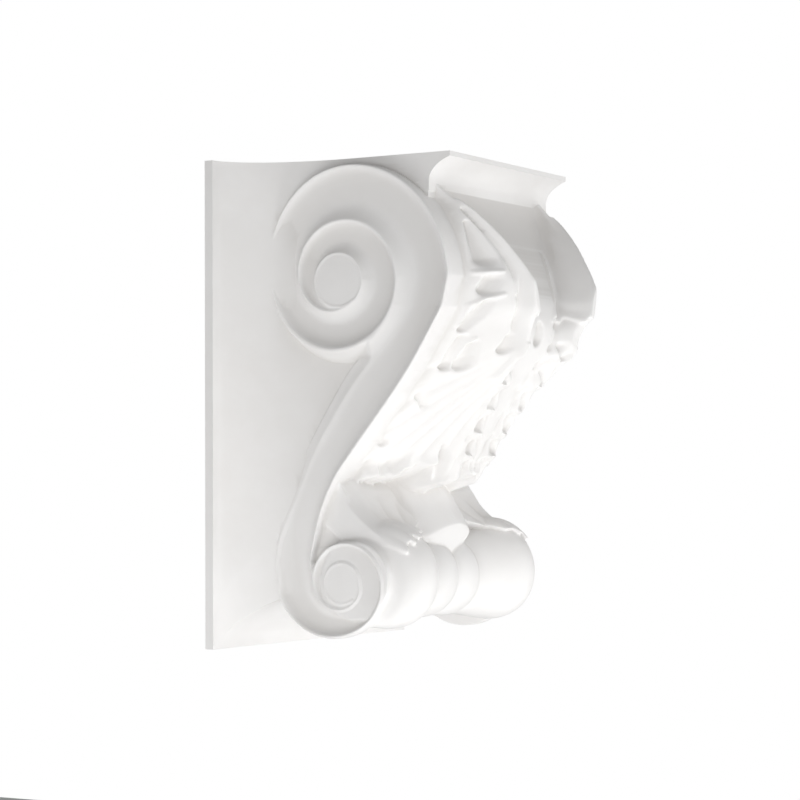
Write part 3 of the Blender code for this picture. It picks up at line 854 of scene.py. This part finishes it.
# Height and depth of the hollow behind the tongue, and of the cover beside it
THROAT = (
    (44.0, 78.0), (60.0, 82.0), (70.0, 84.0), (80.0, 84.0), (92.0, 80.0), (100.0, 76.0),
    (106.0, 71.0), (112.0, 66.0),
)
COVER = (
    (52.0, 116.0), (58.0, 117.5), (64.0, 116.5), (68.0, 114.0), (72.0, 110.0), (76.0, 104.5),
    (80.0, 99.0), (85.0, 93.5), (90.0, 89.0), (96.0, 84.5), (101.0, 80.0), (106.0, 74.0),
    (112.0, 67.0),
)
COVER_THICKNESS = 3.2
# Place across and height of the cover's lower edge, with its small tips
TIP_LINE = (
    (26.0, 80.0), (34.0, 76.0), (42.0, 74.0), (50.0, 73.0), (55.0, 71.0), (60.0, 71.5),
    (66.0, 68.0), (69.5, 69.5), (72.0, 64.5), (74.5, 66.5), (77.5, 59.5), (79.0, 60.5),
    (80.5, 64.0), (82.0, 66.0),
)
FLUTE_HUB = (70.0, 46.0)
FLUTE_PERIOD = 19.0
FLUTE_DEPTH = 2.0
CALYX_HALF = 80.5
CALYX_BOTTOM = 48.0
CALYX_TOP = 109.0
CALYX_THICKNESS = 30.0
CORE_HALF = 79.5
CORE_PROFILE = (
    (46.0, 50.0), (90.0, 50.0), (90.0, 66.0), (80.0, 94.0), (70.0, 106.0), (56.0, 106.0),
)


def tongue_depth(x, height, base):
    """A broad tongue that bends over: grey upper side, crisp fold, and pale underside."""
    fold = TONGUE_FOLD - TONGUE_DROOP * (x / 30.0) ** 2
    upper = TONGUE_CREST - 0.62 * (height - fold)
    lower = TONGUE_CREST - 0.28 * (fold - height)
    ridge = np.where(height > fold, upper, lower)
    half = follow(TONGUE_HALF, 1, height)
    roundness = np.sqrt(np.clip(1.0 - (x / half) ** 2, 0.0, 1.0))
    return np.where(x < half, base + (ridge - base) * roundness**0.5, base - 5.0)


def cover_depth(x, height):
    """The fluted lobes: a thin cover over the shoulders of the pads that ends in small tips."""
    centre, middle, radius = roll_section(x)
    reach = (radius + COVER_THICKNESS) ** 2 - (height - middle) ** 2
    over_pad = np.where(reach > 0, centre + np.sqrt(np.maximum(reach, 0.0)), 0.0)
    cover = np.maximum(follow(COVER, 1, height) - 9.0 * smooth(68.0, 82.0, x), over_pad)
    turn = np.degrees(np.arctan2(x - FLUTE_HUB[0], height - FLUTE_HUB[1]))
    flutes = np.abs(np.sin(np.radians(turn) * 180.0 / FLUTE_PERIOD)) ** 0.7
    cover = cover + FLUTE_DEPTH * (flutes - 1.0) * smooth(94.0, 82.0, height)
    under = follow(TIP_LINE, 1, x) - height
    cover = np.where(under > 0, cover - 7.0 * under, cover)
    return cover - 30.0 * smooth(32.0, 22.0, x)


def calyx():
    x, height = carving_grid(CALYX_HALF, CALYX_BOTTOM, CALYX_TOP)
    across = np.abs(x)
    base = follow(THROAT, 1, height)
    depth = np.maximum(base, tongue_depth(across, height, base))
    depth = np.maximum(depth, cover_depth(across, height))
    return carved_sheet("calyx", x, depth, height, CALYX_THICKNESS)


carved.append(calyx())
carved.append(moulding("calyx_core", CORE_PROFILE, -CORE_HALF, CORE_HALF))

# %% [markdown]
# The carved solids overlap, as clay laid on clay does. A voxel remesh fuses them to one skin with
# softly rounded inner corners, like a cast from a worn mould, one smoothing pass takes off the
# voxel steps, and Decimate keeps the triangles where the surface turns. A Boolean joins that
# skin to the crisp body, and the result is one closed mesh.

# %% One fused moulding
VOXEL = 0.8 * MM
SKIN_TRIANGLES = 185000
SEAM_ANGLE = 14.0

deselect()
for piece in carved:
    piece.select_set(True)
bpy.context.view_layer.objects.active = carved[0]
bpy.ops.object.join()
skin = bpy.context.object
apply_modifier(skin, "REMESH", mode="VOXEL", voxel_size=VOXEL, adaptivity=0.0)
print("fused skin:", len(skin.data.polygons), "faces")
apply_modifier(skin, "SMOOTH", factor=0.5, iterations=1)
apply_modifier(skin, "DECIMATE", ratio=SKIN_TRIANGLES / (2 * len(skin.data.polygons)))


def paint(piece, name):
    """A plain marker material on every face, to tell body and carving apart after the union."""
    piece.data.materials.clear()
    piece.data.materials.append(bpy.data.materials.new(name))


def sharpen_seam(piece):
    """Marks the edges where body and carving meet at more than the seam angle as sharp."""
    mesh = piece.data
    kinds, owners = {}, {}
    for face in mesh.polygons:
        for key in face.edge_keys:
            kinds.setdefault(key, set()).add(face.material_index)
            owners.setdefault(key, []).append(face.index)
    limit = math.cos(math.radians(SEAM_ANGLE))
    count = 0
    for edge in mesh.edges:
        if len(kinds.get(edge.key, ())) > 1:
            first, second = (mesh.polygons[i].normal for i in owners[edge.key][:2])
            edge.use_edge_sharp = first.dot(second) < limit
            count += 1
    print("seam of", count, "edges between the body and the carving")


paint(body, "marker_body")
paint(skin, "marker_carving")
combine(body, skin, "UNION", solver="MANIFOLD")
bracket = body
bracket.name = "carved_bracket"
sharpen_seam(bracket)
print("bracket:", sum(len(face.vertices) - 2 for face in bracket.data.polygons), "triangles")

# %% [markdown]
# The hollows get painted shade, a touch darker than the edges, standing in for the shade that falls
# in them. How hollow a spot is can be measured on the mesh itself: smooth a copy of the points many
# times and see how far each one moves along its normal. The result is kept as an attribute that the
# material reads.

# %% How hollow each spot is
HOLLOW_PASSES = 24
HOLLOW_FULL = 1.5 * MM
SMOOTH_ANGLE = 38.0


def hollow_attribute(piece):
    """Stores how far each point moves when the mesh is eased: 1 in a full hollow, -1 on an edge."""
    mesh = piece.data
    count = len(mesh.vertices)
    points = np.empty(count * 3)
    mesh.vertices.foreach_get("co", points)
    points = points.reshape(-1, 3)
    edges = np.empty(len(mesh.edges) * 2, dtype=np.int64)
    mesh.edges.foreach_get("vertices", edges)
    edges = edges.reshape(-1, 2)
    neighbours = np.bincount(edges.ravel(), minlength=count).astype(float)
    eased = points.copy()
    starts, ends = edges[:, 0], edges[:, 1]
    for _ in range(HOLLOW_PASSES):
        total = np.zeros_like(eased)
        for axis in range(3):
            total[:, axis] = np.bincount(starts, weights=eased[ends, axis], minlength=count)
            total[:, axis] += np.bincount(ends, weights=eased[starts, axis], minlength=count)
        eased = total / np.maximum(neighbours, 1.0)[:, None]
    normals = np.empty(count * 3)
    mesh.vertex_normals.foreach_get("vector", normals)
    normals = normals.reshape(-1, 3)
    hollow = np.einsum("ij,ij->i", eased - points, normals) / HOLLOW_FULL
    layer = mesh.attributes.new("hollow", "FLOAT", "POINT")
    layer.data.foreach_set("value", np.clip(hollow, -1.0, 1.0))
    print("hollow between", round(float(hollow.min()), 2), "and", round(float(hollow.max()), 2))


hollow_attribute(bracket)
make_active(bracket)
bpy.ops.object.shade_smooth_by_angle(angle=math.radians(SMOOTH_ANGLE), keep_sharp_edges=True)

# %% [markdown]
# Shader maths reads best as plain sums, so one small class wraps a socket: adding or multiplying
# two of them adds the Math node. Everything else goes through one method that makes a node.

# %% Shader helpers
class Value:
    """A number on its way through a material; plain signs add Math nodes."""

    def __init__(self, finish, socket):
        self.finish = finish
        self.socket = socket

    def maths(self, operation, first, second):
        return self.finish.node("ShaderNodeMath", {"operation": operation}, {0: first, 1: second})

    def __add__(self, other):
        return self.maths("ADD", self, other)

    def __radd__(self, other):
        return self.maths("ADD", other, self)

    def __sub__(self, other):
        return self.maths("SUBTRACT", self, other)

    def __rsub__(self, other):
        return self.maths("SUBTRACT", other, self)

    def __mul__(self, other):
        return self.maths("MULTIPLY", self, other)

    def __rmul__(self, other):
        return self.maths("MULTIPLY", other, self)


class Finish:
    """A node material with one Principled shader."""

    def __init__(self, name):
        self.material = bpy.data.materials.new(name)
        self.material.use_nodes = True
        self.tree = self.material.node_tree
        self.shader = self.tree.nodes["Principled BSDF"]

    def feed(self, socket, value):
        if isinstance(value, Value):
            self.tree.links.new(value.socket, socket)
        else:
            socket.default_value = value

    def node(self, kind, settings, inputs, output=0):
        node = self.tree.nodes.new(kind)
        for key, value in settings.items():
            if key == "stops":
                ramp = node.color_ramp.elements
                while len(ramp) < len(value):
                    ramp.new(0.5)
                for stop, (position, colour) in zip(ramp, value):
                    stop.position = position
                    stop.color = colour
            else:
                setattr(node, key, value)
        for key, value in inputs.items():
            self.feed(node.inputs[key], value)
        return Value(self, node.outputs[output])


# %% [markdown]
# The finish is matt white casting plaster. Up close it is not one white: soft clouds of warmer
# and cooler white from mixing, painted shade that greys the hollows a little, a slightly polished
# edge where hands have been, fine pores, and a very shallow unevenness left by the mould.

# %% White plaster
def noise(finish, place, scale, detail, roughness):
    inputs = {"Vector": place, "Scale": scale, "Detail": detail, "Roughness": roughness}
    return finish.node("ShaderNodeTexNoise", {}, inputs)


def white_plaster():
    finish = Finish("white_plaster")
    place = finish.node("ShaderNodeTexCoord", {}, {}, "Object")
    hollow = finish.node("ShaderNodeAttribute", {"attribute_name": "hollow"}, {}, "Fac")
    clouds = noise(finish, place, 14.0, 4.0, 0.55)
    mottle = noise(finish, place, 90.0, 5.0, 0.6)
    pores = noise(finish, place, 900.0, 3.0, 0.6)
    unevenness = noise(finish, place, 45.0, 2.0, 0.5)
    tint = finish.node("ShaderNodeValToRGB", {"stops": (
        (0.30, (0.835, 0.822, 0.808, 1.0)),
        (0.52, (0.862, 0.852, 0.842, 1.0)),
        (0.74, (0.880, 0.874, 0.866, 1.0)),
    )}, {"Fac": clouds * 0.7 + mottle * 0.3})
    in_hollow = finish.node("ShaderNodeMath", {"operation": "MAXIMUM"}, {0: hollow, 1: 0.0})
    on_edge = finish.node("ShaderNodeMath", {"operation": "MAXIMUM"}, {0: 0.0 - hollow, 1: 0.0})
    # Painted shade: the base colour is mixed towards grey by half of how hollow each spot is,
    # standing in for the shade that falls in the hollows.
    painted_hollow_shade = finish.node("ShaderNodeMix", {"data_type": "RGBA"}, {
        "Factor": in_hollow * 0.5, 6: tint, 7: (0.66, 0.64, 0.615, 1.0)}, 2)
    finish.feed(finish.shader.inputs["Base Color"], painted_hollow_shade)
    roughness = 0.66 + mottle * 0.14 - on_edge * 0.12 + in_hollow * 0.1
    finish.feed(finish.shader.inputs["Roughness"], roughness)
    relief = unevenness * 1.0 + mottle * 0.25 + pores * 0.06
    bump = finish.node("ShaderNodeBump", {}, {"Strength": 0.25, "Distance": 0.0006, "Height": relief})
    finish.feed(finish.shader.inputs["Normal"], bump)
    finish.shader.inputs["Specular IOR Level"].default_value = 0.35
    return finish.material


for polygon in bracket.data.polygons:
    polygon.material_index = 0
bracket.data.materials.clear()
bracket.data.materials.append(white_plaster())
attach(bracket, "root")
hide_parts("wall_bracket")

# %% [markdown]
# The bracket hangs on a wall, so the studio floor is well below it. A pale floor sends light back
# up under the mouldings. The photograph is lit mostly from the front and below, with a soft even
# light all round, so the undersides and the front are the brightest and the flat sides are grey.

# %% Floor and light
FLOOR_BELOW = 0.75

deselect()
bpy.ops.mesh.primitive_plane_add(size=6.0, location=(0, 0, -FLOOR_BELOW))
floor = bpy.context.object
floor.name = "studio_floor"
bpy.ops.object.transform_apply(location=True, rotation=True, scale=True)
floor_finish = Finish("pale_floor")
floor_finish.shader.inputs["Base Color"].default_value = (0.86, 0.86, 0.86, 1.0)
floor_finish.shader.inputs["Roughness"].default_value = 0.9
floor.data.materials.append(floor_finish.material)


def area_light(name, place, target, size, watts):
    deselect()
    bpy.ops.object.light_add(type="AREA", location=place)
    light = bpy.context.object
    light.name = name
    light.data.size = size
    light.data.energy = watts
    light.rotation_euler = (Vector(target) - Vector(place)).to_track_quat("-Z", "Y").to_euler()
    light.visible_camera = False
    return light


def light_from(name, azimuth, elevation, distance, size, watts):
    """A soft square lamp at a compass bearing from the front, aimed at the bracket's middle."""
    turn, rise = math.radians(azimuth), math.radians(elevation)
    place = Vector((
        math.sin(turn) * math.cos(rise), -math.cos(turn) * math.cos(rise), math.sin(rise))) * distance
    return area_light(name, place, (0, 0, 0), size, watts)


light_from("low_front", 5, -50, 0.91, 0.9, 5.0)
light_from("low_left", -90, -50, 0.91, 0.9, 4.2)
light_from("left", -65, -10, 2.0, 0.9, 9.0)
light_from("front", 0, -6, 2.0, 0.9, 8.0)
light_from("right", 50, 8, 2.0, 0.9, 5.0)

world = bpy.data.worlds.new("soft_white")
bpy.context.scene.world = world
world.use_nodes = True
world_nodes = world.node_tree.nodes
world_links = world.node_tree.links
background = world_nodes["Background"]
background.inputs["Color"].default_value = (1.0, 1.0, 1.0, 1.0)
background.inputs["Strength"].default_value = 0.3
seen = world_nodes.new("ShaderNodeBackground")
seen.inputs["Color"].default_value = (1.0, 1.0, 1.0, 1.0)
seen.inputs["Strength"].default_value = 1.0
chooser = world_nodes.new("ShaderNodeMixShader")
rays = world_nodes.new("ShaderNodeLightPath")
world_links.new(rays.outputs["Is Camera Ray"], chooser.inputs[0])
world_links.new(background.outputs[0], chooser.inputs[1])
world_links.new(seen.outputs[0], chooser.inputs[2])
world_links.new(chooser.outputs[0], world_nodes["World Output"].inputs["Surface"])
bpy.context.scene.view_settings.view_transform = "Standard"
